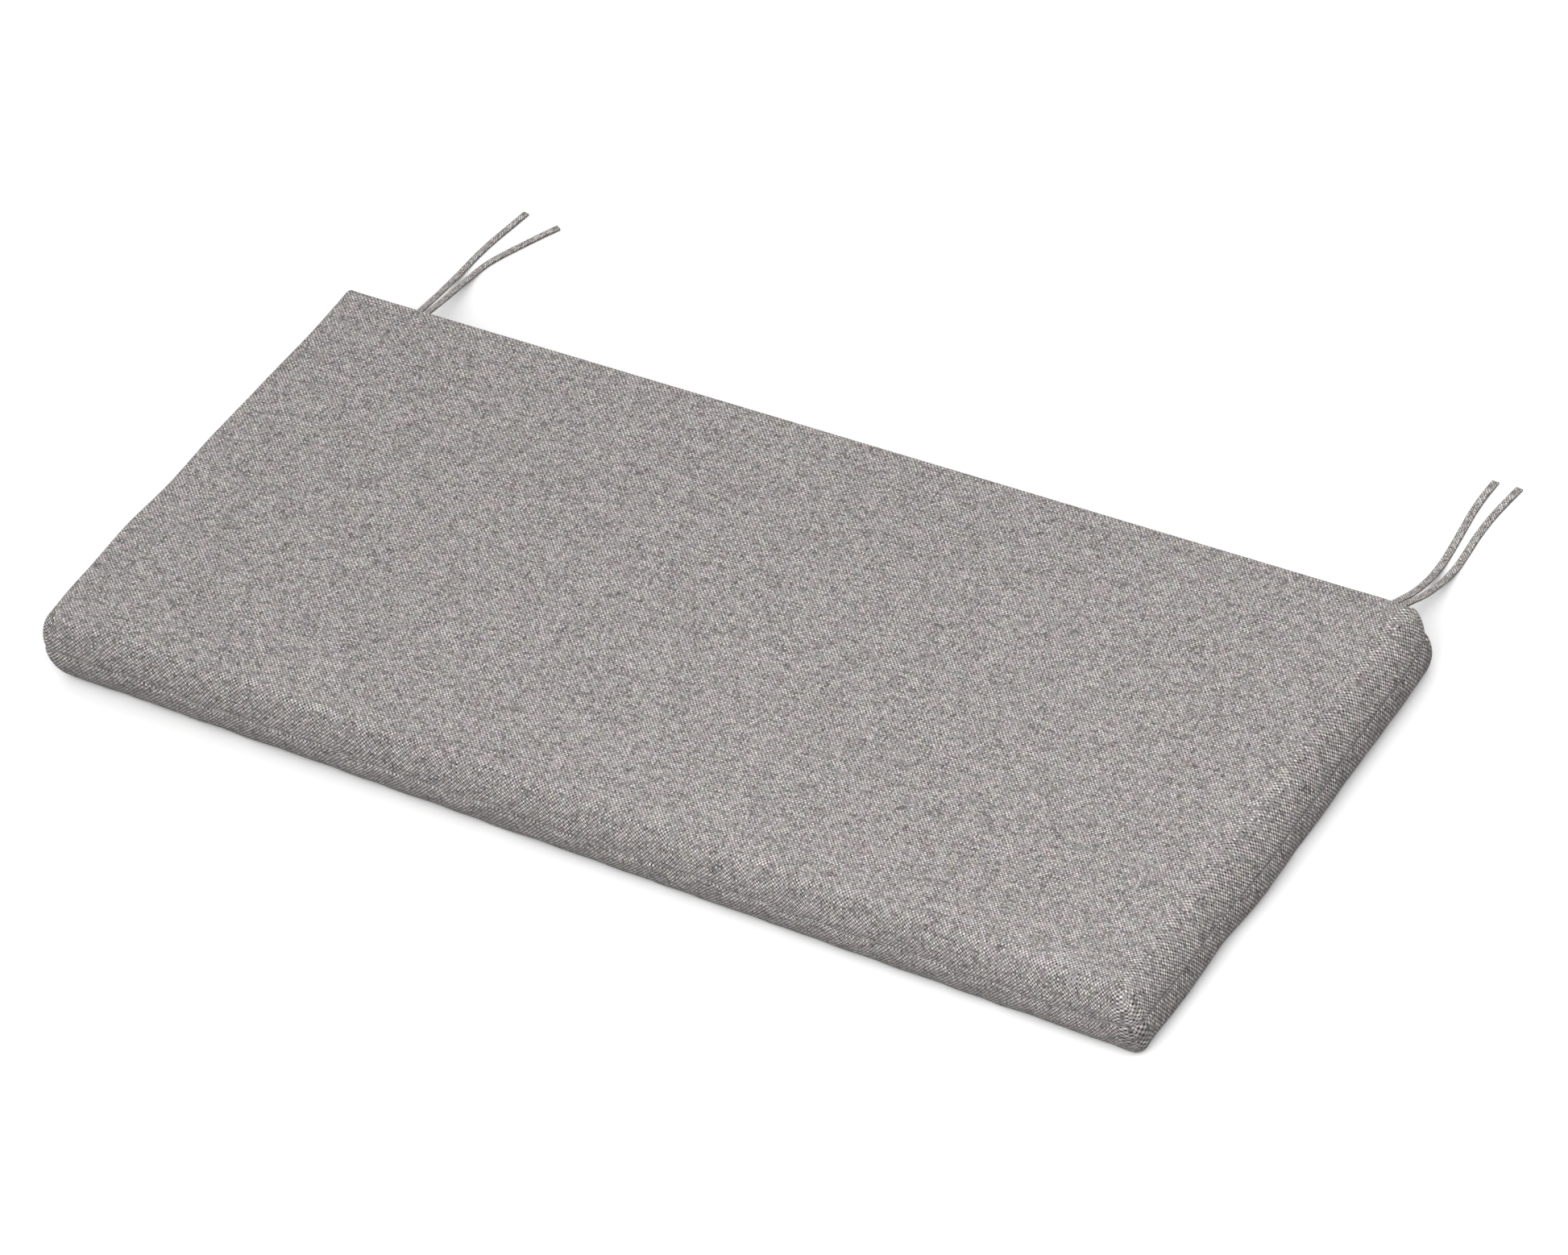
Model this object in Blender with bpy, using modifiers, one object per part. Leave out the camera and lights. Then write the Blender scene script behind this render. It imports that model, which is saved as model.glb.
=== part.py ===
"""Bench cushion: one filled fabric cushion with four ties sewn into its back seam.

Metres, +Z up. The origin is on the surface that the cushion rests on, under its middle.
+X runs along the long side and +Y towards the back edge, where the ties are.
"""

import math

import bmesh
import bpy
from mathutils import Vector

# Cushion
WIDTH = 1.080  # long side, X, before the pulls and bulges of its ends
DEPTH = 0.446  # short side, Y
EDGE_HEIGHT = 0.0655  # top face just inside its rolled edge
CROWN = 0.0025  # further rise of the top face at the middle
SEAM_HEIGHT = 0.034  # the seam between the two panels, all round
ROLL = 0.015  # how far a side leans in between the seam and each flat face
SEAM_DRAW = 0.0030  # depth of the groove that the seam pulls into the side
SEAM_REACH = 0.009  # half the height of that groove
SMOOTHING = 0.0009  # how far Subdivision Surface draws the sides of the cage in

# The side wall takes the first part of the roll, and the face takes the rest.
WALL_TURN = 0.68
# A corner's plan radius shrinks to nothing over this distance in from the side.
CORNER_ZONE = 0.026
WALL_SHRINK = 0.35  # share of that shrinking that happens on the side wall

# Plan radius at the seam of each corner, by the signs of X and Y
CORNER_RADIUS = {
    (-1, -1): 0.008,
    (1, -1): 0.018,
    (1, 1): 0.010,
    (-1, 1): 0.006,
}

# How far the short sides are pulled in between the corners, and less than nothing where
# they bulge: (Y, pull at -X, pull at +X)
SIDE_PULL = (
    (-0.223, 0.0010, 0.0020),
    (-0.158, 0.0000, 0.0010),
    (-0.099, -0.0024, 0.0022),
    (-0.039, 0.0012, -0.0016),
    (0.015, -0.0006, -0.0004),
    (0.090, 0.0006, 0.0004),
    (0.158, 0.0020, 0.0004),
    (0.223, 0.0000, 0.0028),
)
PULL_FADE = 0.060  # the pull fades out over this distance in from the side

# Cage lines: insets from each side, and the number of equal spans between them
EDGE_LINES = (0.005, 0.011, 0.026)
SPANS_X = 6
SPANS_Y = 10
WALL_LINES = (0.12, 0.30, 0.62)  # shares of the wall's height from the seam

# Ties
TIE_WIDTH = 0.0065
TIE_THICKNESS = 0.0018
TIE_POINTS = 26  # rings along a tie
LYING = 0.0010  # a tie's middle where it lies on the surface
ROOT_Y = 0.2218  # just clear of the bottom of the seam's groove
LEAVING_Y = 0.2300  # a tie runs straight out of the seam up to here

# Middle line of each tie from the seam to its free end
TIE_ROUTES = {
    "tie_left_outer": (
        (-0.4842, ROOT_Y, SEAM_HEIGHT),
        (-0.4842, LEAVING_Y, SEAM_HEIGHT),
        (-0.4868, 0.2480, 0.0295),
        (-0.4922, 0.2680, 0.0222),
        (-0.4978, 0.2850, 0.0152),
        (-0.5037, 0.3020, 0.0082),
        (-0.5077, 0.3190, 0.0032),
        (-0.5093, 0.3380, LYING),
        (-0.5083, 0.3570, LYING),
        (-0.5060, 0.3750, LYING),
        (-0.5029, 0.3930, LYING),
        (-0.5000, 0.4106, LYING),
    ),
    "tie_left_inner": (
        (-0.4768, ROOT_Y, SEAM_HEIGHT),
        (-0.4768, LEAVING_Y, SEAM_HEIGHT),
        (-0.4788, 0.2480, 0.0295),
        (-0.4830, 0.2680, 0.0222),
        (-0.4877, 0.2850, 0.0152),
        (-0.4926, 0.3020, 0.0082),
        (-0.4955, 0.3190, 0.0032),
        (-0.4945, 0.3370, LYING),
        (-0.4880, 0.3540, LYING),
        (-0.4790, 0.3710, LYING),
        (-0.4690, 0.3890, LYING),
        (-0.4595, 0.4048, LYING),
    ),
    "tie_right_inner": (
        (0.4853, ROOT_Y, SEAM_HEIGHT),
        (0.4853, LEAVING_Y, SEAM_HEIGHT),
        (0.4884, 0.2480, 0.0284),
        (0.4892, 0.2660, 0.0204),
        (0.4878, 0.2830, 0.0130),
        (0.4854, 0.3000, 0.0062),
        (0.4831, 0.3180, 0.0019),
        (0.4812, 0.3370, LYING),
        (0.4788, 0.3580, LYING),
        (0.4764, 0.3790, LYING),
        (0.4756, 0.3980, LYING),
        (0.4763, 0.4170, LYING),
    ),
    "tie_right_outer": (
        (0.4926, ROOT_Y, SEAM_HEIGHT),
        (0.4926, LEAVING_Y, SEAM_HEIGHT),
        (0.4962, 0.2480, 0.0284),
        (0.4984, 0.2660, 0.0204),
        (0.4980, 0.2830, 0.0130),
        (0.4968, 0.3000, 0.0062),
        (0.4958, 0.3180, 0.0019),
        (0.4946, 0.3370, LYING),
        (0.4932, 0.3580, LYING),
        (0.4935, 0.3790, LYING),
        (0.4954, 0.3980, LYING),
        (0.4980, 0.4170, LYING),
    ),
}

CLOTH_COLOUR = (0.335, 0.315, 0.305, 1.0)
TIE_COLOUR = (0.320, 0.302, 0.292, 1.0)


def clear_scene():
    for scene_object in list(bpy.data.objects):
        bpy.data.objects.remove(scene_object, do_unlink=True)


def new_collection(name):
    collection = bpy.data.collections.new(name)
    bpy.context.scene.collection.children.link(collection)
    return collection


def cloth_material(name, colour):
    material = bpy.data.materials.new(name)
    material.use_nodes = True
    shader = material.node_tree.nodes["Principled BSDF"]
    shader.inputs["Base Color"].default_value = colour
    shader.inputs["Roughness"].default_value = 0.9
    shader.inputs["Metallic"].default_value = 0.0
    return material


def side_pull(y, side):
    """How far the short side at -X or +X is pulled in at y, smooth between the rows."""
    column = 1 if side < 0 else 2
    for low, high in zip(SIDE_PULL, SIDE_PULL[1:]):
        if y <= high[0]:
            break
    share = min(max((y - low[0]) / (high[0] - low[0]), 0), 1)
    smooth = share * share * (3 - 2 * share)
    return low[column] + (high[column] - low[column]) * smooth


def crown_at(x, y):
    """The crown's rise, a parabola each way that falls to nothing at the sides."""
    return CROWN * (1 - (2 * x / WIDTH) ** 2) * (1 - (2 * y / DEPTH) ** 2)


def round_corner(along, inset, radius):
    """Plan place and outward direction of a point near a corner, from that corner.

    Along is how far the point is from the corner on its level, as a share of the zone.
    The level's outline is a straight run that ends in half of the corner's arc.
    """
    reach = CORNER_ZONE - inset
    arc = radius * math.pi / 4
    run = along * (arc + reach - radius)
    if run >= arc or radius < 1e-6:
        return Vector((inset + radius + run - arc, inset)), Vector((0, -1))
    angle = math.pi / 4 - run / radius
    outward = Vector((-math.sin(angle), -math.cos(angle)))
    return Vector((inset + radius, inset + radius)) + outward * radius, outward


def cushion_point(point):
    """Moves a point of the square box onto the cushion.

    The box runs from -1 at the underside, through 0 at the seam, to 1 at the top.
    A point's level is how far round the roll it is, and each level is an outline.
    """
    x, y, level = point
    sign_x = -1 if x < 0 else 1
    sign_y = -1 if y < 0 else 1
    in_x = WIDTH / 2 - abs(x)
    in_y = DEPTH / 2 - abs(y)
    box_inset = max(min(in_x, in_y), 0)

    on_face = abs(level) > 1 - 1e-6
    turn = WALL_TURN * abs(level)
    shrink = WALL_SHRINK * abs(level)
    if on_face:
        turn += (1 - WALL_TURN) * min(box_inset / ROLL, 1)
        shrink += (1 - WALL_SHRINK) * min(box_inset / CORNER_ZONE, 1)
    rise = math.sin(turn * math.pi / 2)
    inset = ROLL * (1 - math.cos(turn * math.pi / 2))
    if box_inset > ROLL:
        inset = box_inset

    # Place on the level's outline, seen from the nearest corner along the nearer side
    across = in_x > in_y
    along = max(in_x, in_y)
    if along < CORNER_ZONE:
        share = (along - box_inset) / (CORNER_ZONE - box_inset)
        radius = CORNER_RADIUS[sign_x, sign_y] * (1 - shrink)
        place, outward = round_corner(share, inset, radius)
    else:
        place, outward = Vector((along, inset)), Vector((0, -1))
    if not across:
        place, outward = place.yx, outward.yx

    # The seam draws the side in, most at the seam itself
    height_from_seam = rise * SEAM_HEIGHT
    groove = max(1 - height_from_seam / SEAM_REACH, 0) ** 2
    draw = 0 if on_face else SEAM_DRAW * groove
    place -= outward * (draw - SMOOTHING * (1 - rise))

    new_y = sign_y * (DEPTH / 2 - place.y)
    fade = max(1 - place.x / PULL_FADE, 0)
    new_x = sign_x * (WIDTH / 2 - place.x - side_pull(new_y, sign_x) * fade)
    if level >= 0:
        top = EDGE_HEIGHT + crown_at(new_x, new_y)
        return Vector((new_x, new_y, SEAM_HEIGHT + (top - SEAM_HEIGHT) * rise))
    return Vector((new_x, new_y, SEAM_HEIGHT * (1 - rise)))


def cage_lines(size, spans):
    """Where the cage is cut across one side: close together at both edges."""
    half = size / 2
    edge = [half - inset for inset in EDGE_LINES]
    inner = edge[-1]
    middle = [inner * (2 * step / spans - 1) for step in range(1, spans)]
    return [-line for line in edge] + middle + edge


def make_cushion(collection):
    """A box is cut into a cage, moved onto the cushion's form and smoothed."""
    cage = bmesh.new()
    bmesh.ops.create_cube(cage, size=1)
    bmesh.ops.scale(cage, vec=(WIDTH, DEPTH, 2), verts=cage.verts)
    cuts = [((line, 0, 0), (1, 0, 0)) for line in cage_lines(WIDTH, SPANS_X)]
    cuts += [((0, line, 0), (0, 1, 0)) for line in cage_lines(DEPTH, SPANS_Y)]
    for line in WALL_LINES:
        cuts += [((0, 0, line), (0, 0, 1)), ((0, 0, -line), (0, 0, 1))]
    cuts.append(((0, 0, 0), (0, 0, 1)))
    for place, direction in cuts:
        everything = cage.verts[:] + cage.edges[:] + cage.faces[:]
        bmesh.ops.bisect_plane(cage, geom=everything, plane_co=place, plane_no=direction)
    for vertex in cage.verts:
        vertex.co = cushion_point(vertex.co)

    mesh = bpy.data.meshes.new("cushion")
    cage.to_mesh(mesh)
    cage.free()
    mesh.shade_smooth()
    cushion = bpy.data.objects.new("cushion", mesh)
    cushion.data.materials.append(cloth_material("cushion_cloth", CLOTH_COLOUR))
    collection.objects.link(cushion)
    smoothing = cushion.modifiers.new("smoothing", "SUBSURF")
    smoothing.levels = 1
    smoothing.render_levels = 1
    return cushion


def smooth_route(points, count):
    """Evenly spread points on the Catmull-Rom curve through the route's own points."""
    knots = [Vector(point) for point in points]
    knots = [2 * knots[0] - knots[1]] + knots + [2 * knots[-1] - knots[-2]]
    curve = []
    steps = 12
    for a, b, c, d in zip(knots, knots[1:], knots[2:], knots[3:]):
        for step in range(steps):
            t = step / steps
            curve.append(0.5 * (2 * b + (c - a) * t + (2 * a - 5 * b + 4 * c - d) * t**2
                                + (3 * b - a - 3 * c + d) * t**3))
    curve.append(knots[-2])

    travelled = [0.0]
    for before, after in zip(curve, curve[1:]):
        travelled.append(travelled[-1] + (after - before).length)
    spread = []
    index = 0
    for number in range(count):
        wanted = travelled[-1] * number / (count - 1)
        while index < len(curve) - 2 and travelled[index + 1] < wanted:
            index += 1
        share = (wanted - travelled[index]) / (travelled[index + 1] - travelled[index])
        place = curve[index].lerp(curve[index + 1], share)
        place.z = max(place.z, LYING)
        spread.append(place)
    return spread


def make_tie(name, route, material, collection):
    """A flat strip with rounded edges, its width kept level along the route."""
    curve = bpy.data.curves.new(name, "CURVE")
    curve.dimensions = "3D"
    curve.twist_mode = "Z_UP"
    curve.use_fill_caps = True
    curve.bevel_depth = TIE_THICKNESS / 2
    curve.bevel_resolution = 1
    curve.extrude = (TIE_WIDTH - TIE_THICKNESS) / 2
    points = smooth_route(route, TIE_POINTS)
    spline = curve.splines.new("POLY")
    spline.points.add(len(points) - 1)
    for spline_point, place in zip(spline.points, points):
        spline_point.co = (*place, 1)
        spline_point.tilt = math.pi / 2
    curve.materials.append(material)
    tie = bpy.data.objects.new(name, curve)
    collection.objects.link(tie)
    return tie


def main():
    clear_scene()
    collection = new_collection("bench_cushion")
    make_cushion(collection)
    for name, route in TIE_ROUTES.items():
        make_tie(name, route, cloth_material(name + "_cloth", TIE_COLOUR), collection)


main()
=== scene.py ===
import math

import bpy
import numpy as np
from mathutils import Matrix, Vector


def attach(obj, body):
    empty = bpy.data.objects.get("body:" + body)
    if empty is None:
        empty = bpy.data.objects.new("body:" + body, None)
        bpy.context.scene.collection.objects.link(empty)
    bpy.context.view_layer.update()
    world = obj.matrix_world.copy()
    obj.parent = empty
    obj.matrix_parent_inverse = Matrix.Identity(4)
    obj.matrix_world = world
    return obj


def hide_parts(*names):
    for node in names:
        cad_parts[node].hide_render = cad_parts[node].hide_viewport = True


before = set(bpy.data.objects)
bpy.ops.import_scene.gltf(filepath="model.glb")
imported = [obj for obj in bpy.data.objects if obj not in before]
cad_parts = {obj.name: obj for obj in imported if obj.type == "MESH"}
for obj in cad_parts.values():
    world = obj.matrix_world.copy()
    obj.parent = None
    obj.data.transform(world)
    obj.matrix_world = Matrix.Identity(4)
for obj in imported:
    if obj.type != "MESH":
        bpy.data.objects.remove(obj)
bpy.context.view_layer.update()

halfPi = math.pi / 2
tiny = 1e-6  # lengths, levels and shares below this count as nothing
print("frame loaded:", ", ".join(sorted(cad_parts)))

camera = {
    "place": (2.5128, -2.3756, 3.1800),  # metres
    "right": (0.80813, 0.54906, -0.21321),
    "up": (-0.25988, 0.65723, 0.70747),
    "forward": (-0.52858, 0.51632, -0.67381),
    "lens": 134.70,  # mm
    "sensor": 36,  # mm wide
    "nearest": 0.1, "furthest": 60,  # metres that it sees
}


def makeCamera(values):
    lens = bpy.data.cameras.new("camera")
    lens.sensor_width = values["sensor"]
    lens.sensor_fit = "HORIZONTAL"
    lens.lens = values["lens"]
    lens.clip_start = values["nearest"]
    lens.clip_end = values["furthest"]
    holder = bpy.data.objects.new("camera", lens)
    back = [-part for part in values["forward"]]
    columns = values["right"], values["up"], back, values["place"]
    rows = [[column[row] for column in columns] for row in range(3)]
    holder.matrix_world = Matrix(rows + [[0, 0, 0, 1]])
    bpy.context.scene.collection.objects.link(holder)
    bpy.context.scene.camera = holder


makeCamera(camera)
print("camera placed")


# Shader nodes are made with these few: one node, one link or plain value, one sum

def addNode(tree, kind, **settings):
    node = tree.nodes.new(kind)
    for name, value in settings.items():
        setattr(node, name, value)
    return node


def feed(tree, value, socket):
    if isinstance(value, bpy.types.NodeSocket):
        tree.links.new(value, socket)
    else:
        socket.default_value = value


def calc(tree, operation, *values):
    node = addNode(tree, "ShaderNodeMath", operation=operation)
    for value, socket in zip(values, node.inputs):
        feed(tree, value, socket)
    return node.outputs[0]


def vectorCalc(tree, operation, *values):
    node = addNode(tree, "ShaderNodeVectorMath", operation=operation)
    for value, socket in zip(values, node.inputs):
        feed(tree, value, socket)
    return node.outputs[0]


def combine(tree, x, y, z=0.0):
    node = addNode(tree, "ShaderNodeCombineXYZ")
    for value, socket in zip((x, y, z), node.inputs):
        feed(tree, value, socket)
    return node.outputs[0]


def noise(tree, place, scale, detail=0.0, output="Fac"):
    node = addNode(tree, "ShaderNodeTexNoise", noise_dimensions="3D")
    feed(tree, place, node.inputs["Vector"])
    feed(tree, scale, node.inputs["Scale"])
    feed(tree, detail, node.inputs["Detail"])
    return node.outputs[output]


# For colours, this node's share, first and second are its inputs 0, 6 and 7, its result output 2
def mixColours(tree, share, first, second):
    node = addNode(tree, "ShaderNodeMix", data_type="RGBA")
    for number, value in ((0, share), (6, first), (7, second)):
        feed(tree, value, node.inputs[number])
    return node.outputs[2]


# A cloth's own values, by the name of their socket in the weave
clothColours = {"pale": "Pale Yarn", "dark": "Dark Yarn"}
clothNumbers = {
    "warpPitch": "Warp Pitch", "weftPitch": "Weft Pitch",  # metres from yarn to yarn
    "slub": "Slub",  # unevenness along a yarn
    "speckle": "Speckle",  # from crossing to crossing
    "mottle": "Mottle",  # within the yarns
    "tint": "Tint",  # of the dyes
    "contrast": "Crossing Contrast", "gapShade": "Gap Shade",
}

# What all cloth here shares. A noise's scale is its waves to a metre of cloth.
weave = {
    "wander": 0.0042, "wanderScale": 20, "wanderDetail": 4,  # yarns stray by up to a quarter of it
    "wanderApart": (3.3, 1.7, 0),  # the weft strays otherwise than the warp
    "dive": 0.55,  # how much lower a yarn lies where it goes under the next
    "deepening": 0.5,  # of the gaps
    "crossingRelief": 0.35, "yarnRelief": 0.3, "lowest": 0.35,  # of the height
    "slubScale": 140,
    "slubApart": 5.13,  # noise from one yarn to the next, so that each has its own
    "warpSlice": 2.2, "weftSlice": 8.4,  # where warp and weft cut through the noise
    "mottleScale": 260, "mottleDetail": 3,
    "dyeScale": 90, "dyeDetail": 2, "dyeApart": (0.7, 2.9, 1.3),
    "paintedSideLight": 0.2,  # painted light: how much paler the cloth is made where it is opened over the roll and walls
    "darkest": 0.02,
    "paintedShadeColour": (0.01, 0.009, 0.009, 1),  # colour that painted shade mixes the cloth towards
    "relief": 0.5, "reliefDepth": 0.0003,
    "roughness": 0.95, "specular": 0.2, "sheen": 0.1, "sheenRoughness": 0.6,
}


# Plain weave. Places are metres of cloth. Counted in yarns, the whole numbers name the
# warp and the weft yarn and the rest is the place between them. Where the two numbers
# add up to an odd number the warp is on top, otherwise the weft. A yarn on top is a
# parabola across itself, times a lower parabola along itself as it dives at both ends.
# Its tone is its own slow noise along its length, plus a little for each crossing.
def makeWovenGroup(values):
    group = bpy.data.node_groups.new("wovenCloth", "ShaderNodeTree")
    entries = [("Place", "NodeSocketVector"), ("Opened And Lit", "NodeSocketFloat")]
    entries += [(name, "NodeSocketColor") for name in clothColours.values()]
    entries += [(name, "NodeSocketFloat") for name in clothNumbers.values()]
    for name, kind in entries:
        group.interface.new_socket(name, in_out="INPUT", socket_type=kind)
    group.interface.new_socket("Color", in_out="OUTPUT", socket_type="NodeSocketColor")
    group.interface.new_socket("Height", in_out="OUTPUT", socket_type="NodeSocketFloat")
    given = addNode(group, "NodeGroupInput").outputs
    place = given["Place"]
    apart = addNode(group, "ShaderNodeSeparateXYZ")
    feed(group, place, apart.inputs[0])

    def centred(value, amount):
        return calc(group, "MULTIPLY", calc(group, "SUBTRACT", value, 0.5), amount)

    def wander(where):
        waves = noise(group, where, values["wanderScale"], values["wanderDetail"])
        return centred(waves, values["wander"])

    # Yarns wander by about a millimetre within 50 mm, and by less from one to the next
    x = calc(group, "ADD", apart.outputs[0], wander(place))
    otherPlace = vectorCalc(group, "ADD", place, values["wanderApart"])
    y = calc(group, "ADD", apart.outputs[1], wander(otherPlace))
    acrossWarp = calc(group, "DIVIDE", x, given["Warp Pitch"])
    acrossWeft = calc(group, "DIVIDE", y, given["Weft Pitch"])
    warpNumber = calc(group, "FLOOR", acrossWarp)
    weftNumber = calc(group, "FLOOR", acrossWeft)
    bothNumbers = calc(group, "ADD", warpNumber, weftNumber)
    oddHalf = calc(group, "FRACT", calc(group, "MULTIPLY", bothNumbers, 0.5))
    warpIsOver = calc(group, "MULTIPLY", oddHalf, 2.0)

    def dome(value):
        doubled = calc(group, "MULTIPLY", calc(group, "FRACT", value), 2.0)
        edge = calc(group, "SUBTRACT", doubled, 1.0)
        return calc(group, "SUBTRACT", 1.0, calc(group, "MULTIPLY", edge, edge))

    def between(first, second, share):
        return calc(group, "MULTIPLY_ADD", calc(group, "SUBTRACT", second, first), share, first)

    def wave(value):
        return calc(group, "SINE", calc(group, "MULTIPLY", value, math.pi))

    # Gaps are darker than the tops are pale: from a crossing is taken the deepening times
    # (its square less a quarter, which is the square's mean)
    crossings = calc(group, "MULTIPLY", wave(acrossWarp), wave(acrossWeft))
    squared = calc(group, "MULTIPLY", crossings, crossings)
    deepening = values["deepening"]
    deeper = calc(group, "MULTIPLY_ADD", squared, deepening, -deepening / 4)
    deepened = calc(group, "SUBTRACT", crossings, deeper)
    domeX, domeY = dome(acrossWarp), dome(acrossWeft)
    dive = values["dive"]
    weftTop = calc(group, "MULTIPLY", domeY, calc(group, "MULTIPLY_ADD", domeX, dive, 1 - dive))
    warpTop = calc(group, "MULTIPLY", domeX, calc(group, "MULTIPLY_ADD", domeY, dive, 1 - dive))
    yarnTop = between(weftTop, warpTop, warpIsOver)
    height = calc(group, "MULTIPLY_ADD", yarnTop, values["yarnRelief"], values["lowest"])
    height = calc(group, "MULTIPLY_ADD", crossings, values["crossingRelief"], height)

    # A slub is a stretch of one yarn, about 7 to 15 mm long
    def slubNoise(*where):
        return noise(group, combine(group, *where), 1.0, 1)

    ownWarp = calc(group, "MULTIPLY", warpNumber, values["slubApart"])
    ownWeft = calc(group, "MULTIPLY", weftNumber, values["slubApart"])
    alongWarp = calc(group, "MULTIPLY", y, values["slubScale"])
    alongWeft = calc(group, "MULTIPLY", x, values["slubScale"])
    warpTone = slubNoise(ownWarp, alongWarp, values["warpSlice"])
    weftTone = slubNoise(alongWeft, ownWeft, values["weftSlice"])
    yarnTone = between(weftTone, warpTone, warpIsOver)
    crossing = addNode(group, "ShaderNodeTexWhiteNoise", noise_dimensions="2D")
    feed(group, combine(group, warpNumber, weftNumber), crossing.inputs["Vector"])
    fine = noise(group, place, values["mottleScale"], values["mottleDetail"])
    tone = calc(group, "ADD", 0.5, centred(yarnTone, given["Slub"]))
    tone = calc(group, "ADD", tone, centred(crossing.outputs["Value"], given["Speckle"]))
    tone = calc(group, "ADD", tone, centred(fine, given["Mottle"]))
    yarn = mixColours(group, tone, given["Dark Yarn"], given["Pale Yarn"])

    # The dyes don't match: soft patches lean to pink, green or blue
    dyePlace = vectorCalc(group, "ADD", place, values["dyeApart"])
    patches = noise(group, dyePlace, values["dyeScale"], values["dyeDetail"], "Color")
    lean = vectorCalc(group, "SUBTRACT", patches, (0.5, 0.5, 0.5))
    tint = combine(group, given["Tint"], given["Tint"], given["Tint"])
    yarn = vectorCalc(group, "MULTIPLY", yarn,
                      vectorCalc(group, "MULTIPLY_ADD", lean, tint, (1, 1, 1)))

    # Where cloth is bent round an edge its weave opens: its crossings show more. It is also made
    # paler there, which is painted light on the roll and walls.
    depth = calc(group, "SUBTRACT", 1.0, yarnTop)
    shade = calc(group, "SUBTRACT", 1.0, calc(group, "MULTIPLY", depth, given["Gap Shade"]))
    openedAndLit = calc(group, "ADD", 1.0, given["Opened And Lit"])
    contrast = calc(group, "MULTIPLY", openedAndLit, given["Crossing Contrast"])
    shade = calc(group, "MULTIPLY", shade, calc(group, "MULTIPLY_ADD", deepened, contrast, 1.0))
    shade = calc(group, "MAXIMUM", shade, values["darkest"])
    lift = calc(group, "MULTIPLY_ADD", given["Opened And Lit"], values["paintedSideLight"], 1.0)
    shade = calc(group, "MULTIPLY", shade, lift)
    result = addNode(group, "NodeGroupOutput").inputs
    feed(group, vectorCalc(group, "MULTIPLY", yarn, combine(group, shade, shade, shade)),
         result["Color"])
    feed(group, height, result["Height"])
    return group


wovenGroup = makeWovenGroup(weave)
print("weave made")


# Cloth over a piece's own UV map, in metres. The values "openedAndLit" and "paintedShade" in the
# mesh say where it is bent open and made paler with painted light, and where it is darkened with
# painted shade.
def makeClothMaterial(name, values):
    material = bpy.data.materials.new(name)
    material.use_nodes = True
    tree = material.node_tree
    shader = tree.nodes["Principled BSDF"]
    woven = addNode(tree, "ShaderNodeGroup", node_tree=wovenGroup)
    feed(tree, addNode(tree, "ShaderNodeUVMap", uv_map="cloth").outputs[0], woven.inputs["Place"])
    for key, socket in (clothColours | clothNumbers).items():
        woven.inputs[socket].default_value = values[key]

    def fromMesh(attribute, amount):
        found = addNode(tree, "ShaderNodeAttribute", attribute_name=attribute)
        return calc(tree, "MULTIPLY", found.outputs["Fac"], amount)

    feed(tree, fromMesh("openedAndLit", values["openingAndLight"]), woven.inputs["Opened And Lit"])
    # painted shade: the mesh value mixes the cloth towards a near-black
    paintedShade = fromMesh("paintedShade", values["darkening"])
    colour = mixColours(tree, paintedShade, woven.outputs["Color"], weave["paintedShadeColour"])
    feed(tree, colour, shader.inputs["Base Color"])
    bump = addNode(tree, "ShaderNodeBump")
    bump.inputs["Strength"].default_value = weave["relief"]
    bump.inputs["Distance"].default_value = weave["reliefDepth"]
    feed(tree, woven.outputs["Height"], bump.inputs["Height"])
    feed(tree, bump.outputs[0], shader.inputs["Normal"])
    shader.inputs["Roughness"].default_value = weave["roughness"]
    shader.inputs["Specular IOR Level"].default_value = weave["specular"]
    shader.inputs["Sheen Weight"].default_value = weave["sheen"]
    shader.inputs["Sheen Roughness"].default_value = weave["sheenRoughness"]
    return material


# Corners of each cell of a grid of numbers, turning from the rows to the columns
def quadsOf(grid):
    corners = [grid[:-1, :-1], grid[1:, :-1], grid[1:, 1:], grid[:-1, 1:]]
    return np.stack(corners, axis=-1).reshape(-1, 4)


def makeMesh(name, points, faces):
    mesh = bpy.data.meshes.new(name)
    mesh.from_pydata(points, [], faces)
    mesh.shade_smooth()
    piece = bpy.data.objects.new(name, mesh)
    bpy.context.scene.collection.objects.link(piece)
    return piece


def setClothPlaces(piece, uv):
    layer = piece.data.uv_layers.new(name="cloth")
    layer.data.foreach_set("uv", uv.astype(np.float32).ravel())


def setValues(piece, name, shares):
    attribute = piece.data.attributes.new(name, "FLOAT", "POINT")
    attribute.data.foreach_set("value", shares.astype(np.float32))


tie = {
    "width": 0.0065,
    "thickness": 0.0018,
    "rounding": 0.0004, "roundSteps": 3,  # radius along its four long edges
    "rings": 140, "curveSteps": 24,  # along it, and between two points of its route
    "length": 0.20,
    "sewnIn": 0.0045,  # how much more of it lies inside the seam
    "cloth": {
        "warpPitch": 0.00135, "weftPitch": 0.00130,
        "pale": (0.735, 0.690, 0.668, 1), "dark": (0.165, 0.153, 0.148, 1),
        "slub": 1.35, "speckle": 0.85, "mottle": 0.40, "tint": 0.20,
        "contrast": 0.70, "gapShade": 0.36, "darkening": 0.45, "openingAndLight": 0,
    },
}
seamHeight = 0.034
lying = 0.0010  # height of a tie's middle where it lies on the floor

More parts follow.
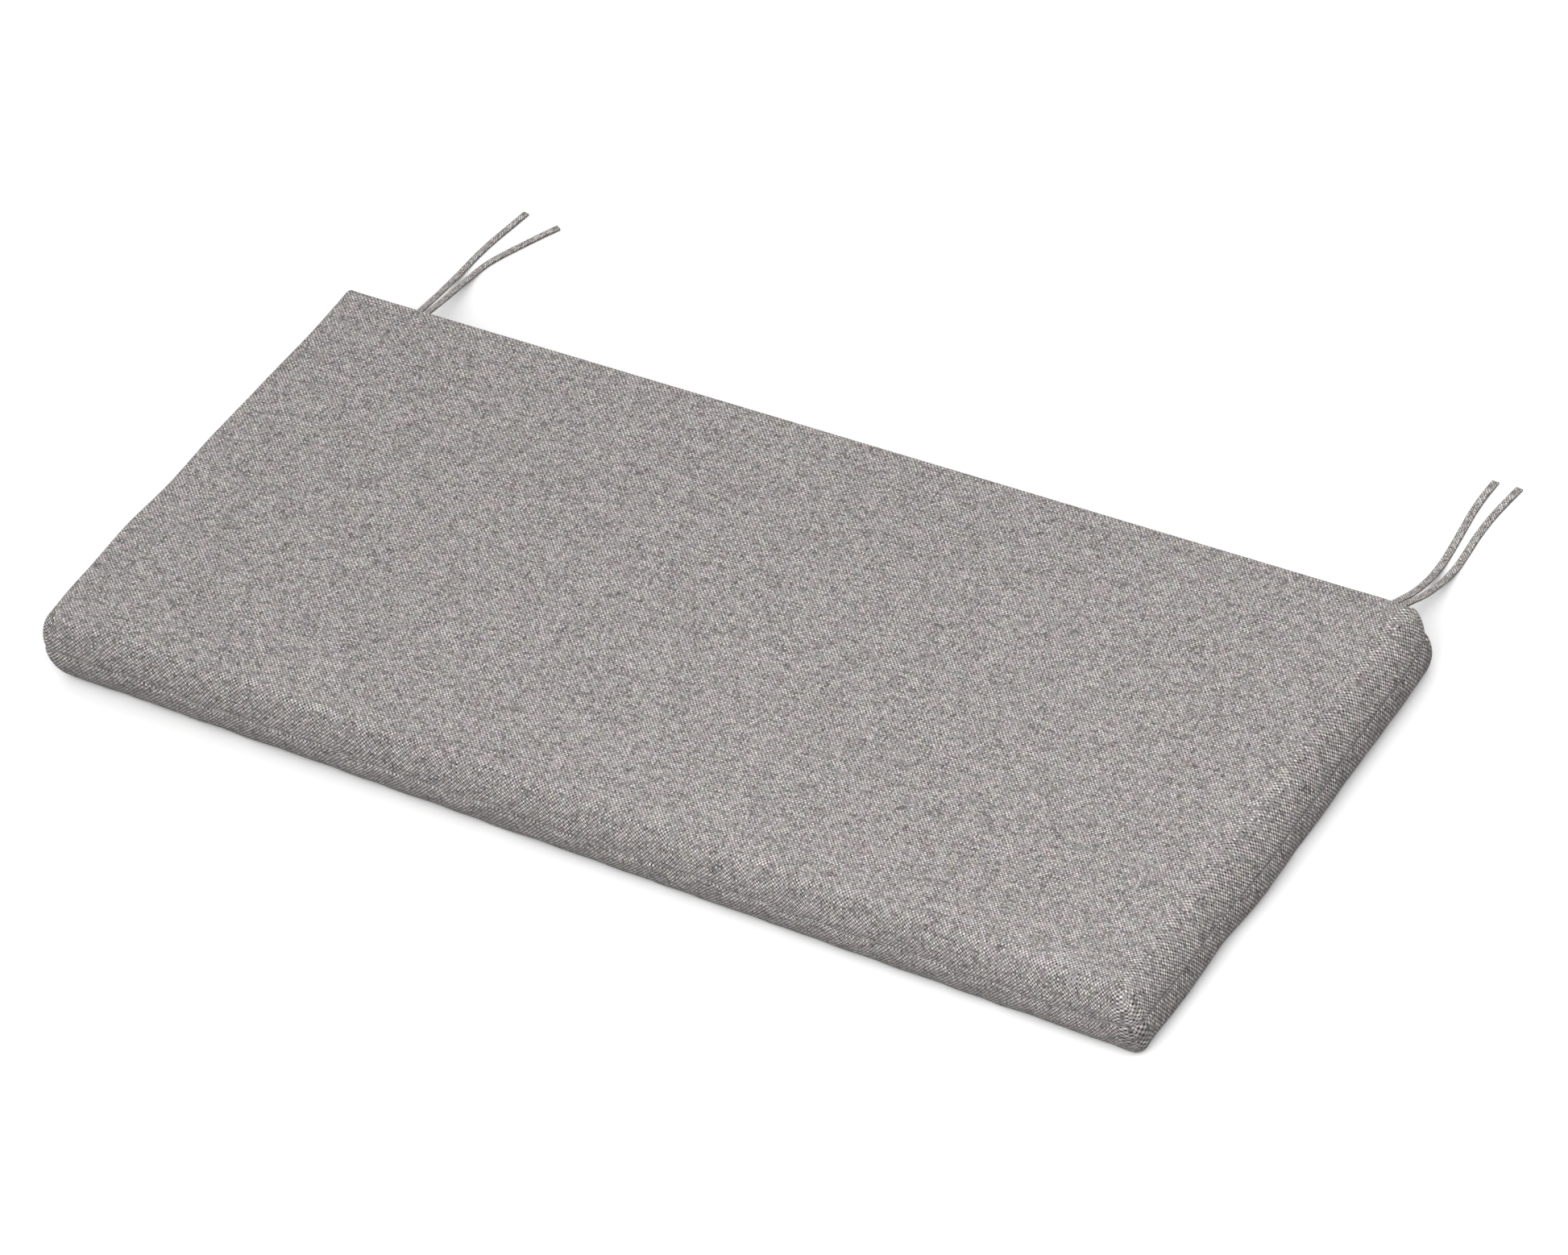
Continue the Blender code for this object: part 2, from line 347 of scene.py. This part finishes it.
# Middle line of each tie, from the seam to the free end
tieRoutes = {
    "tie_left_outer": (
        (-0.4842, 0.2218, seamHeight), (-0.4842, 0.2300, seamHeight), (-0.4868, 0.2480, 0.0295),
        (-0.4922, 0.2680, 0.0222), (-0.4978, 0.2850, 0.0152), (-0.5037, 0.3020, 0.0082),
        (-0.5077, 0.3190, 0.0032), (-0.5093, 0.3380, lying), (-0.5083, 0.3570, lying),
        (-0.5060, 0.3750, lying), (-0.5029, 0.3930, lying), (-0.5000, 0.4106, lying),
    ),
    "tie_left_inner": (
        (-0.4768, 0.2218, seamHeight), (-0.4768, 0.2300, seamHeight), (-0.4788, 0.2480, 0.0295),
        (-0.4830, 0.2680, 0.0222), (-0.4877, 0.2850, 0.0152), (-0.4926, 0.3020, 0.0082),
        (-0.4955, 0.3190, 0.0032), (-0.4945, 0.3370, lying), (-0.4880, 0.3540, lying),
        (-0.4790, 0.3710, lying), (-0.4690, 0.3890, lying), (-0.4595, 0.4048, lying),
    ),
    "tie_right_inner": (
        (0.4853, 0.2218, seamHeight), (0.4853, 0.2300, seamHeight), (0.4884, 0.2480, 0.0284),
        (0.4892, 0.2660, 0.0204), (0.4878, 0.2830, 0.0130), (0.4854, 0.3000, 0.0062),
        (0.4831, 0.3180, 0.0019), (0.4812, 0.3370, lying), (0.4788, 0.3580, lying),
        (0.4764, 0.3790, lying), (0.4756, 0.3980, lying), (0.4763, 0.4170, lying),
    ),
    "tie_right_outer": (
        (0.4926, 0.2218, seamHeight), (0.4926, 0.2300, seamHeight), (0.4962, 0.2480, 0.0284),
        (0.4984, 0.2660, 0.0204), (0.4980, 0.2830, 0.0130), (0.4968, 0.3000, 0.0062),
        (0.4958, 0.3180, 0.0019), (0.4946, 0.3370, lying), (0.4932, 0.3580, lying),
        (0.4935, 0.3790, lying), (0.4954, 0.3980, lying), (0.4980, 0.4170, lying),
    ),
}


# Catmull-Rom curve through the route's points: each stretch is a cubic whose slope at a
# point is half the way from the point before to the point after. Rings are evenly spread.
def smoothRoute(route, values):
    knots = np.array(route, float)
    knots = np.vstack([2 * knots[0] - knots[1], knots, 2 * knots[-1] - knots[-2]])
    t = np.linspace(0, 1, values["curveSteps"], endpoint=False)[:, None, None]
    a, b, c, d = knots[:-3], knots[1:-2], knots[2:-1], knots[3:]
    square, cube = 2 * a - 5 * b + 4 * c - d, 3 * b - a - 3 * c + d
    curve = 0.5 * (2 * b + (c - a) * t + square * t**2 + cube * t**3)
    curve = np.vstack([curve.transpose(1, 0, 2).reshape(-1, 3), knots[-2]])
    curve[:, 2] = np.maximum(curve[:, 2], lying)
    travelled = np.append(0, np.cumsum(np.linalg.norm(np.diff(curve, axis=0), axis=1)))
    wanted = np.linspace(0, travelled[-1], values["rings"])
    path = [np.interp(wanted, travelled, curve[:, axis]) for axis in range(3)]
    return np.stack(path, axis=1), wanted


# Rounded rectangle: the corner of a smaller rectangle plus a quarter circle at each corner
def stripProfile(values):
    rounding, steps = values["rounding"], values["roundSteps"]
    angles = (np.arange(4)[:, None] * halfPi + np.linspace(0, halfPi, steps + 1)).ravel()
    signs = np.repeat([(1, 1), (-1, 1), (-1, -1), (1, -1)], steps + 1, axis=0)
    middle = signs * (values["width"] / 2 - rounding, values["thickness"] / 2 - rounding)
    return middle + rounding * np.stack([np.cos(angles), np.sin(angles)], axis=1)


# The strip: a profile across (kept level) and up, carried along the route. Its cloth places
# are the length along it and the length round the profile, and the profile at its two ends.
# Its narrow sides are darkened with painted shade.
def makeTie(name, route, values, material):
    path, travelled = smoothRoute(route, values)
    inwards = np.array([[path[0, 0], path[0, 1] - values["sewnIn"], path[0, 2]]])
    path = np.vstack([inwards, path])
    travelled = np.append(-values["sewnIn"], travelled)
    along = np.gradient(path, axis=0)
    along /= np.linalg.norm(along, axis=1)[:, None]
    across = np.cross(along, (0, 0, 1))
    across /= np.linalg.norm(across, axis=1)[:, None]
    upwards = np.cross(across, along)
    profile = stripProfile(values)
    points = path[:, None] + across[:, None] * profile[None, :, :1]
    points = points + upwards[:, None] * profile[None, :, 1:]
    ids = np.arange(len(path) * len(profile)).reshape(len(path), len(profile))
    closed = np.hstack([ids, ids[:, :1]])
    faces = quadsOf(closed).tolist() + [ids[0].tolist(), ids[-1][::-1].tolist()]
    piece = makeMesh(name.replace("tie", "strip"), points.reshape(-1, 3), faces)

    edges = np.linalg.norm(np.diff(np.vstack([profile, profile[:1]]), axis=0), axis=1)
    around = np.append(0, np.cumsum(edges))
    alongGrid, roundGrid = np.meshgrid(travelled, around, indexing="ij")
    uv = np.stack([quadsOf(alongGrid), quadsOf(roundGrid)], axis=-1).reshape(-1, 2)
    setClothPlaces(piece, np.vstack([uv, profile, profile[::-1]]))
    paintedSideShade = (abs(profile[:, 0]) - values["width"] / 2) / values["rounding"] + 1
    setValues(piece, "paintedShade", np.tile(paintedSideShade, len(path)))
    piece.data.materials.append(material)
    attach(piece, "root")
    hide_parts(name)


tieCloth = makeClothMaterial("tieCloth", tie["cloth"])
for tieName, tieRoute in tieRoutes.items():
    makeTie(tieName, tieRoute, tie, tieCloth)
print("ties made:", len(tieRoutes))

cushion = {
    "width": 1.080,
    "depth": 0.446,
    "edgeHeight": 0.0660,  # top face just inside its rolled edge, before it swells
    "crown": 0.0020,  # further rise at the middle
    # how far each side leans in between the seam and the top: front, right, back, left
    "rolls": (0.016, 0.019, 0.008, 0.008),
    "underRoll": 0.011,  # the same between the seam and the underside
    "rollBlend": 0.080,  # from one side's roll to the next, across a corner
    "topStart": 0.12,  # share of the quarter turn that the cloth already leans in at the seam
    "wallTurn": 0.68,  # share of the roll that the side wall takes
    "draw": 0.0012, "drawReach": 0.007,  # the broad hollow along the seam
    "crease": 0.0008, "creaseReach": 0.0010,  # the narrow crease at its bottom
    "cornerZone": 0.026,  # a corner's radius shrinks to nothing over this distance in
    "wallShrink": 0.35,  # share of that shrinking on the side wall
    # plan radius of the corners: front left, front right, back right, back left
    "radii": (0.008, 0.014, 0.011, 0.006),
    # at those corners: what is added to the roll, and how far the cover is tucked in along
    # the seam and above it
    "cornerRolls": (0, 0, -0.005, 0), "cornerTucks": (0, 0, 0.0024, 0),
    "tuckReach": 0.030,  # along the sides
    "tuckStart": 0.55,  # level below the seam where it ends
    "tuckKept": 0.3,  # share that is left at the top
    # (Y, pull at -X, pull at +X): how far the short sides are pulled in
    "pull": (
        (-0.223, 0.0010, 0.0020), (-0.158, 0.0000, 0.0010), (-0.099, -0.0024, 0.0022),
        (-0.039, 0.0012, -0.0016), (0.015, -0.0006, -0.0004), (0.090, 0.0006, 0.0004),
        (0.158, 0.0020, 0.0004), (0.223, 0.0000, 0.0028),
    ),
    "pullFade": 0.060,
    # (size, turn for a metre of X and of Y, first turn) of the waves in which the seam strays
    "seamWaves": ((1, 31, 17, 0.6), (0.7, 67, -41, 2.1), (0.5, 118, 97, 0)),
    "seamWander": 0.0011,  # metres for a wave of size 1
    "seamFade": 1.5,  # power by which this fades above and below it
    "cornerLift": 0.0030, "cornerLiftReach": 0.020,  # it rises into each corner
    "seamWidth": 0.0010, "seamElsewhere": 0.42,  # painted shade in the seam's crease, fainter on the other three sides
    "underShade": (0.14, 0.29),  # painted shade below the seam, under the upper panel: elsewhere, on the right side
    "rightFrom": 0.030, "rightOver": 0.018,  # the right side's heavier painted shade starts this far in, over this far
    "edgeInsets": (0, 0.0022, 0.0048, 0.0080, 0.0118, 0.0160, 0.0210),  # grid lines by a side
    "spanX": 116, "spanY": 44,  # equal spans between them
    "wallHeights": (0, 0.0006, 0.0014, 0.0027, 0.0046, 0.0075, 0.0112, 0.0160, 0.0215),
    # how much the cloth is stretched over the roll and below the seam, side by side
    "stretches": (1.20, 1.50, 1.30, 1.30),
    "underStretches": (1.10, 1.75, 1.30, 1.30),
    "rollSteps": 400,  # in which a roll's length is added up
    # along X the pitch falls by a quarter from end to end, along Y it grows by a tenth
    "yarnSpread": (0.13, -0.12),
    "otherPanel": (0.3741, 0.5117),  # the lower panel is another part of the cloth
    "pressure": 4, "slack": 0.005, "frames": 20,  # of the cloth simulation
    "swell": 0.0010,  # furthest that the filling pushes the cloth out
    "cloth": {
        "warpPitch": 0.00174, "weftPitch": 0.00153,
        "pale": (0.668, 0.622, 0.608, 1), "dark": (0.122, 0.112, 0.109, 1),
        "slub": 1.45, "speckle": 0.58, "mottle": 0.29, "tint": 0.18,
        "contrast": 0.67, "gapShade": 0.40, "darkening": 0.65, "openingAndLight": 0.55,
    },
}


# A value between the rows of a table, with no slope at the rows: low plus the difference
# times share squared times (3 minus twice the share)
def easedTable(place, rows, values):
    index = np.clip(np.searchsorted(rows, place) - 1, 0, len(rows) - 2)
    share = np.clip((place - rows[index]) / (rows[index + 1] - rows[index]), 0, 1)
    return values[index] + (values[index + 1] - values[index]) * share**2 * (3 - 2 * share)


# A bell curve: 1 at no distance, e to the minus 1 at the reach
def fadeOut(distance, reach):
    return np.exp(-(distance / reach)**2)


# The value for the nearest corner: front left, front right, back right or back left
def byCorner(x, y, four):
    front = np.where(x < 0, four[0], four[1])
    return np.where(y < 0, front, np.where(x < 0, four[3], four[2]))


# Inset and rise over a rolled edge: a quarter ellipse whose first part, up to the start,
# is left out. Inset goes with one minus the cosine of the turn and rise with its sine.
def rollProfile(turn, roll, start):
    first = start * halfPi
    angle = first + turn * (halfPi - first)
    inset = roll * (np.cos(first) - np.cos(angle)) / np.cos(first)
    return inset, (np.sin(angle) - np.sin(first)) / (1 - np.sin(first))


# Each point's roll: its side's, blended with the next side's by the distance past the corner's
# diagonal, plus what its corner adds, and below the seam one roll for all sides
def rollAt(x, y, level, inX, inY, values):
    front, right, back, left = values["rolls"]
    share = np.clip((inX - inY) / values["rollBlend"] + 0.5, 0, 1)
    roll = np.where(x < 0, left, right) * (1 - share) + np.where(y < 0, front, back) * share
    fromCorner = np.hypot(inX, inY)
    roll = roll + byCorner(x, y, values["cornerRolls"]) * fadeOut(fromCorner, values["tuckReach"])
    return np.where(level < 0, values["underRoll"], roll)


# One level's rounded corner. A point runs from the corner's diagonal along an eighth of a
# circle and then straight on. The run is the whole way times a power of its share in the
# box, so that points run on evenly from the rest of the side. Given back: the places along
# the side and in from it, and the same two parts of the direction outwards.
def roundCorner(along, boxInset, inset, radius, zone):
    arc = radius * math.pi / 4
    nearCorner = along < zone
    share = np.where(nearCorner, (along - boxInset) / np.maximum(zone - boxInset, tiny), 1)
    whole = arc + zone - inset - radius
    run = whole * share**np.clip((zone - boxInset) / np.maximum(whole, tiny), 1, 2)
    onArc = nearCorner & (run < arc)
    angle = math.pi / 4 - np.minimum(run, arc) / radius
    outAlong = np.where(onArc, -np.sin(angle), 0)
    outIn = np.where(onArc, -np.cos(angle), -1)
    straightOn = inset + radius + run - arc
    placeAlong = np.where(onArc, inset + radius + outAlong * radius, straightOn)
    placeAlong = np.where(nearCorner, placeAlong, along)
    placeIn = np.where(onArc, inset + radius + outIn * radius, inset)
    return placeAlong, placeIn, outAlong, outIn


# The seam strays by a few long sine waves, and rises as a bell curve into each corner
def seamStray(x, y, values):
    waves = sum(size * np.sin(turnX * x + turnY * y + first)
                for size, turnX, turnY, first in values["seamWaves"])
    toCorner = np.hypot(values["width"] / 2 - abs(x), values["depth"] / 2 - abs(y))
    lift = values["cornerLift"] * fadeOut(toCorner, values["cornerLiftReach"])
    return values["seamWander"] * waves + lift


# The square box's points moved onto the cushion. Level runs from -1 at the underside,
# through 0 at the seam, to 1 at the top. Turn is how far round the roll a point is. Each
# level is a rounded rectangle whose corner radius shrinks inwards. The seam draws the side
# in by the square of the nearness to it, and by a narrow crease. The short sides are pulled
# in by their table, and a corner's tuck fades as a bell curve. The top is crowned by a
# parabola in X times one in Y.
def cushionForm(x, y, level, values):
    halfX, halfY, zone = values["width"] / 2, values["depth"] / 2, values["cornerZone"]
    signX, signY = np.where(x < 0, -1, 1), np.where(y < 0, -1, 1)
    inX, inY = halfX - abs(x), halfY - abs(y)
    roll = rollAt(x, y, level, inX, inY, values)
    start = np.where(level < 0, 0, values["topStart"])

    boxInset = np.maximum(np.minimum(inX, inY), 0)
    onFace = abs(level) > 1 - tiny
    turnLeft, shrinkLeft = 1 - values["wallTurn"], 1 - values["wallShrink"]
    turn = values["wallTurn"] * abs(level)
    turn = turn + np.where(onFace, turnLeft * np.minimum(boxInset / roll, 1), 0)
    shrink = values["wallShrink"] * abs(level)
    shrink = shrink + np.where(onFace, shrinkLeft * np.minimum(boxInset / zone, 1), 0)
    inset, rise = rollProfile(turn, roll, start)
    inset = np.where(boxInset > roll, boxInset, inset)
    radius = np.maximum(byCorner(x, y, values["radii"]) * (1 - shrink), tiny)
    placeAlong, placeIn, outAlong, outIn = roundCorner(
        np.maximum(inX, inY), boxInset, inset, radius, zone)

    fromSeam = rise * seamHeight
    draw = values["draw"] * np.maximum(1 - fromSeam / values["drawReach"], 0)**2
    draw = draw + values["crease"] * np.maximum(1 - fromSeam / values["creaseReach"], 0)
    draw = np.where(onFace, 0, draw)
    placeAlong = placeAlong - outAlong * draw
    placeIn = placeIn - outIn * draw

    alongX = inX > inY
    fromX = np.where(alongX, placeAlong, placeIn)
    fromY = np.where(alongX, placeIn, placeAlong)
    newY = signY * (halfY - fromY)
    rows, pullLeft, pullRight = np.array(values["pull"]).T
    pull = np.where(x < 0, easedTable(newY, rows, pullLeft), easedTable(newY, rows, pullRight))
    newX = signX * (halfX - fromX - pull * np.maximum(1 - fromX / values["pullFade"], 0))
    fromCorner = np.hypot(fromX, fromY)
    tuck = byCorner(x, y, values["cornerTucks"]) * fadeOut(fromCorner, values["tuckReach"])
    tuck = tuck * np.clip(1 + level / values["tuckStart"], 0, 1)
    tuck = tuck * (1 - (1 - values["tuckKept"]) * rise)
    newX, newY = newX - signX * tuck, newY - signY * tuck

    crown = values["crown"] * (1 - (newX / halfX)**2) * (1 - (newY / halfY)**2)
    top = values["edgeHeight"] + crown
    above = seamHeight + (top - seamHeight) * rise
    newZ = np.where(level >= 0, above, seamHeight * (1 - rise))
    newZ = newZ + seamStray(newX, newY, values) * (1 - rise)**values["seamFade"]
    return np.stack([newX, newY, newZ], axis=-1), rise


# Grid lines from side to side: close together near both sides, evenly spread between
def gridLines(size, spans, insets):
    edge = size / 2 - np.array(insets)
    middle = np.linspace(-edge[-1], edge[-1], spans + 1)[1:-1]
    return np.concatenate([-edge, middle, edge[::-1]])


# The box of which the cover is made: its points as X, Y and level, and its faces. Points are
# the underside's grid, the top's grid, then the loops of the wall between them, level by
# level. Faces are the top, the underside and the wall.
def boxGrid(xs, ys, levels):
    gridX, gridY = [grid.ravel() for grid in np.meshgrid(xs, ys, indexing="ij")]
    flat = len(gridX)
    ids = np.arange(flat).reshape(len(xs), len(ys))
    loop = np.concatenate([ids[:-1, 0], ids[-1, :-1], ids[:0:-1, -1], ids[0, :0:-1]])
    inner = levels[1:-1]
    x = np.concatenate([gridX, gridX, np.tile(gridX[loop], len(inner))])
    y = np.concatenate([gridY, gridY, np.tile(gridY[loop], len(inner))])
    wallLevel = np.repeat(inner, len(loop))
    level = np.concatenate([np.full(flat, -1.0), np.full(flat, 1.0), wallLevel])

    between = 2 * flat + np.arange(len(inner) * len(loop)).reshape(len(inner), -1)
    wall = np.vstack([loop[None], between, loop[None] + flat])
    wall = np.hstack([wall, wall[:, :1]])
    faces = np.vstack([quadsOf(ids + flat), quadsOf(ids)[:, ::-1], quadsOf(wall)[:, ::-1]])
    return x, y, level, faces


# Length of cloth from the seam to each point of a side, along the roll's curve
def clothLength(turn, side, values):
    turns = np.linspace(0, 1, values["rollSteps"])
    inset, rise = rollProfile(turns, values["rolls"][side], values["topStart"])
    height = (values["edgeHeight"] - seamHeight) * rise
    lengths = np.append(0, np.cumsum(np.hypot(np.diff(inset), np.diff(height))))
    return np.interp(turn, turns, lengths) / values["stretches"][side]


# Places on the cloth of grid lines across the top: plain distances from the middle, and
# over the roll the length of the cloth
def clothLine(line, half, sides, values):
    parts = []
    for side in sides:
        inset, roll, wallTurn = half - abs(line), values["rolls"][side], values["wallTurn"]
        turn = wallTurn + (1 - wallTurn) * np.minimum(inset / roll, 1)
        overRoll = clothLength(1, side, values) - clothLength(turn, side, values)
        parts.append(half - np.maximum(inset, roll) + overRoll)
    return np.where(line < 0, -parts[0], parts[1])


# Cloth places of every face's corners, in the order of the faces: the top runs out to the
# sides, and the wall runs on from it by the length of the cloth on its way down. The yarns
# lie closer towards one end: to a place is added its own square times a small number.
def clothPlaces(xs, ys, levels, values):
    def spread(u, v):
        places = np.stack([u, v], axis=-1)
        return places + places**2 * values["yarnSpread"]

    clothX = clothLine(xs, values["width"] / 2, (3, 1), values)
    clothY = clothLine(ys, values["depth"] / 2, (0, 2), values)
    faceU, faceV = [quadsOf(grid) for grid in np.meshgrid(clothX, clothY, indexing="ij")]
    top = spread(faceU, faceV)
    under = spread(faceU[:, ::-1], faceV[:, ::-1]) + values["otherPanel"]

    # (places along the side, whether it runs along Y, sign outwards, place where it starts)
    sides = (
        (clothX, False, -1, -clothY[0]),  # front
        (clothY, True, 1, clothX[-1]),  # right
        (clothX[::-1], False, 1, clothY[-1]),  # back
        (clothY[::-1], True, -1, -clothX[0]),  # left
    )
    wallU, wallV = [], []
    wallTurn = values["wallTurn"]
    for side, (line, runsAlongY, sign, reach) in enumerate(sides):
        toLevel = clothLength(wallTurn * abs(levels), side, values)
        down = clothLength(wallTurn, side, values) - toLevel
        below = values["stretches"][side] / values["underStretches"][side]
        down = down * np.where(levels < 0, below, 1)
        alongLine = np.broadcast_to(line, (len(levels), len(line)))
        outwards = np.broadcast_to(sign * (reach + down)[:, None], alongLine.shape)
        wallU.append(quadsOf(outwards if runsAlongY else alongLine)[:, ::-1])
        wallV.append(quadsOf(alongLine if runsAlongY else outwards)[:, ::-1])

    # Faces of the wall are stored level by level, so each level takes its part of each side
    def byLevel(parts):
        return np.concatenate([part.reshape(len(levels) - 1, -1, 4) for part in parts], axis=1)

    wall = spread(byLevel(wallU), byLevel(wallV))
    wall[levels[:-1] < -tiny] += values["otherPanel"]
    return np.concatenate([top.reshape(-1, 2), under.reshape(-1, 2), wall.reshape(-1, 2)])


# Painted shade: darker in the seam's crease and, fading downwards, on the lower panel under the
# upper panel; more so on the right side
def shadeOf(points, rise, level, values):
    fromLimit = points[:, 0] - values["width"] / 2 + values["rightFrom"]
    rightShare = np.clip(fromLimit / values["rightOver"], 0, 1)
    nearness = np.maximum(1 - rise * seamHeight / values["seamWidth"], 0)
    nearness = nearness * (values["seamElsewhere"] + (1 - values["seamElsewhere"]) * rightShare)
    elsewhere, onRight = values["underShade"]
    under = (1 - rise) * (elsewhere + (onRight - elsewhere) * rightShare)
    return np.maximum(nearness, np.where(level < -tiny, under, 0))


# Makes the cover, and says which of its points are held: at the seam and where it rests
def makeCushion(values, material):
    xs = gridLines(values["width"], values["spanX"], values["edgeInsets"])
    ys = gridLines(values["depth"], values["spanY"], values["edgeInsets"])
    heights = np.array(values["wallHeights"]) / (values["edgeHeight"] - seamHeight)
    upper = np.append(np.arcsin(heights) / (halfPi * values["wallTurn"]), 1)
    levels = np.concatenate([-upper[:0:-1], upper])
    x, y, level, faces = boxGrid(xs, ys, levels)
    points, rise = cushionForm(x, y, level, values)
    piece = makeMesh("cushion_cover", points, faces.tolist())
    setClothPlaces(piece, clothPlaces(xs, ys, levels, values))
    # painted shade at the seam and on the lower panel
    setValues(piece, "paintedShade", shadeOf(points, rise, level, values))
    # bent open, and made paler with painted light: most at the seam, fading to the top and the
    # underside
    setValues(piece, "openedAndLit", 1 - rise)
    piece.data.materials.append(material)
    return piece, (abs(level) < tiny) | (points[:, 2] < tiny)


# The filling's pressure swells the cover. Each point's move is cut short: it becomes the
# limit times the hyperbolic tangent of the move divided by the limit.
def swellCover(piece, held, values):
    scene = bpy.context.scene
    before = np.empty(len(held) * 3, np.float32)
    piece.data.vertices.foreach_get("co", before)
    group = piece.vertex_groups.new(name="held")
    group.add(np.flatnonzero(held).tolist(), 1.0, "REPLACE")
    swelling = piece.modifiers.new("swelling", "CLOTH")
    settings = swelling.settings
    settings.vertex_group_mass = group.name
    settings.use_pressure = True
    settings.uniform_pressure_force = values["pressure"]
    settings.shrink_min = -values["slack"]
    settings.effector_weights.gravity = 0
    swelling.collision_settings.use_collision = False
    swelling.point_cache.frame_start = 1
    swelling.point_cache.frame_end = values["frames"]
    for number in range(1, values["frames"] + 1):
        scene.frame_set(number)
    swollen = piece.evaluated_get(bpy.context.evaluated_depsgraph_get())
    after = np.empty_like(before)
    swollen.to_mesh().vertices.foreach_get("co", after)
    swollen.to_mesh_clear()
    piece.modifiers.remove(swelling)
    piece.vertex_groups.remove(group)
    scene.frame_set(1)

    before, move = before.reshape(-1, 3), (after - before).reshape(-1, 3)
    distance = np.maximum(np.linalg.norm(move, axis=1), tiny)
    limit = values["swell"]
    points = before + move * (limit * np.tanh(distance / limit) / distance)[:, None]
    points[:, 2] = np.maximum(points[:, 2], 0)
    piece.data.vertices.foreach_set("co", points.astype(np.float32).ravel())
    piece.data.update()
    middleMove = round(float(np.median(distance)) * 1000, 2)
    print("cover swollen: middle move", middleMove, "mm before the limit")


def finishCushion(piece):
    smoothing = piece.modifiers.new("smoothing", "SUBSURF")
    smoothing.levels = smoothing.render_levels = 1
    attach(piece, "root")
    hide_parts("cushion")


coverCloth = makeClothMaterial("coverCloth", cushion["cloth"])
cover, coverHeld = makeCushion(cushion, coverCloth)
print("cover laid out:", len(cover.data.polygons), "faces")
swellCover(cover, coverHeld, cushion)
finishCushion(cover)
print("cushion made")

studio = {
    "floorSize": 40, "floorDrop": 0.0003,  # a little below what rests on it
    "floorShade": 0.16,  # how much light it throws back at the object
    "floorSeen": 1.20,  # what the camera sees of it: white, with soft shadows
    "sky": 0.82,
    "lampWatts": 21,
    "lampPlace": (0.90, -1.10, 1.60),
    "lampSize": 1.7,
}


def makeFloor(values):
    bpy.ops.mesh.primitive_plane_add(size=values["floorSize"],
                                     location=(0, 0, -values["floorDrop"]))
    floor = bpy.context.object
    floor.name = "studio_floor"
    material = bpy.data.materials.new("studioFloor")
    material.use_nodes = True
    tree = material.node_tree
    tree.nodes.clear()
    seen = addNode(tree, "ShaderNodeLightPath").outputs["Is Camera Ray"]
    unseen = values["floorShade"]
    shade = calc(tree, "MULTIPLY_ADD", seen, values["floorSeen"] - unseen, unseen)
    surface = addNode(tree, "ShaderNodeBsdfDiffuse")
    feed(tree, combine(tree, shade, shade, shade), surface.inputs["Color"])
    output = addNode(tree, "ShaderNodeOutputMaterial")
    feed(tree, surface.outputs[0], output.inputs["Surface"])
    floor.data.materials.append(material)


def makeLights(values):
    scene = bpy.context.scene
    world = bpy.data.worlds.new("studioSky")
    scene.world = world
    world.use_nodes = True
    background = world.node_tree.nodes["Background"].inputs
    background["Color"].default_value = (1, 1, 1, 1)
    background["Strength"].default_value = values["sky"]
    lamp = bpy.data.lights.new("studioLamp", "AREA")
    lamp.energy = values["lampWatts"]
    lamp.size = values["lampSize"]
    holder = bpy.data.objects.new("studioLamp", lamp)
    holder.location = values["lampPlace"]
    holder.rotation_euler = Vector(values["lampPlace"]).to_track_quat("Z", "Y").to_euler()
    scene.collection.objects.link(holder)
    scene.view_settings.view_transform = "Standard"
    scene.view_settings.look = "None"


makeFloor(studio)
makeLights(studio)
print("floor and light made")
